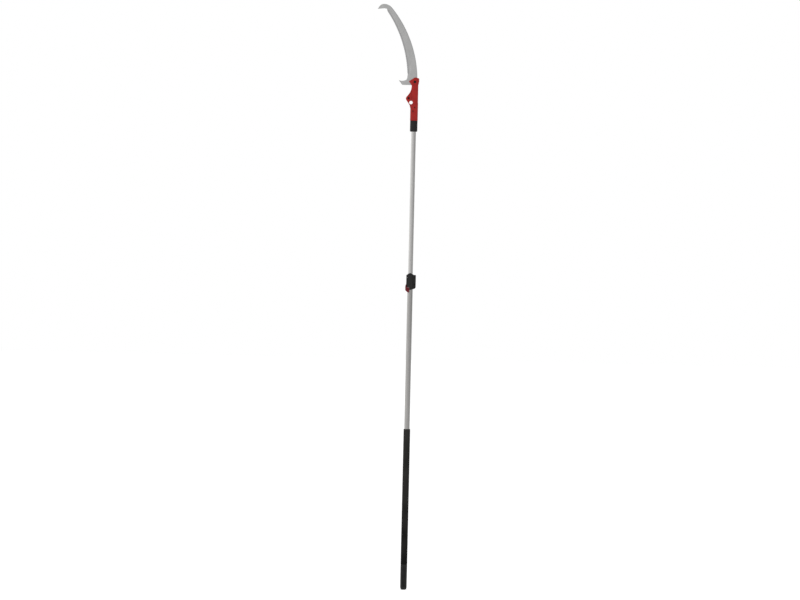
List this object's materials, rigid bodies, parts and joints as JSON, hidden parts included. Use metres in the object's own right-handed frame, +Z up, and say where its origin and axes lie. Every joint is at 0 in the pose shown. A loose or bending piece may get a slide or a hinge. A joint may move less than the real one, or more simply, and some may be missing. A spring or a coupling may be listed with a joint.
{
  "type": "pole saw",
  "caption": "Telescopic pole saw: curved pull-cut pruning blade with hooked ends in a moulded head on an oval aluminium pole with a cam-lever clamp.",
  "frame": {"origin": "centre of the butt cap's flat end face, on the oval pole's axis", "axes": "+Z up the pole to the blade, -X the side to which the blade curves and its teeth face, -Y the front with the screw heads"},
  "size_m": [0.207, 0.0318, 2.7505],
  "materials": {
    "aluminium": "drawn and clear anodised, satin",
    "blade_steel": "fine ground, satin",
    "bright_steel": "zinc plated",
    "black_steel": "black oxide",
    "red_plastic": "moulded, low gloss",
    "dark_red_plastic": "moulded, low gloss",
    "black_plastic": "moulded, fine grain",
    "black_rubber": "soft, matt"
  },
  "bodies": {
    "lower_pole": {"outer_tube": "aluminium", "grip_sleeve": "black_rubber", "butt_cap": "black_plastic", "clamp_body": "black_plastic", "guide_bush": "black_plastic", "lever_pin": "black_steel", "clamp_screw_upper": "black_steel", "clamp_screw_lower": "black_steel", "clamp_nut_upper": "black_steel", "clamp_nut_lower": "black_steel"},
    "upper_pole": {"inner_tube": "aluminium", "inner_tube_plug": "black_plastic", "head_shell_front": "red_plastic", "head_shell_back": "red_plastic", "head_collar": "black_plastic", "saw_blade": "blade_steel", "blade_bolt": "black_steel", "blade_washer": "bright_steel", "blade_nut": "black_steel", "locating_pin": "bright_steel", "wing_screw": "black_steel", "wing_nut": "black_steel", "socket_screw_upper": "black_steel", "socket_screw_lower": "black_steel", "socket_nut_upper": "black_steel", "socket_nut_lower": "black_steel"},
    "lever": {"lock_lever": "dark_red_plastic"},
    "plate": {"pressure_plate": "bright_steel"}
  },
  "joints": [
    {"name": "pole_slide", "type": "slide", "parent": "lower_pole", "child": "upper_pole", "axis": [0, 0, 1], "range_m": [-0.66, 0.4]},
    {"name": "lever_hinge", "type": "hinge", "parent": "lower_pole", "child": "lever", "pos_m": [-0.0156, 0, 1.466], "axis": [0, 1, 0], "range_deg": [0, 110]},
    {"name": "plate_slide", "type": "slide", "parent": "lower_pole", "child": "plate", "axis": [-1, 0, 0], "range_m": [0, 0.00065]}
  ],
  "couplings": [
    {"joint": "plate_slide", "follows": "lever_hinge", "m_per_rad": 0.000315}
  ]
}
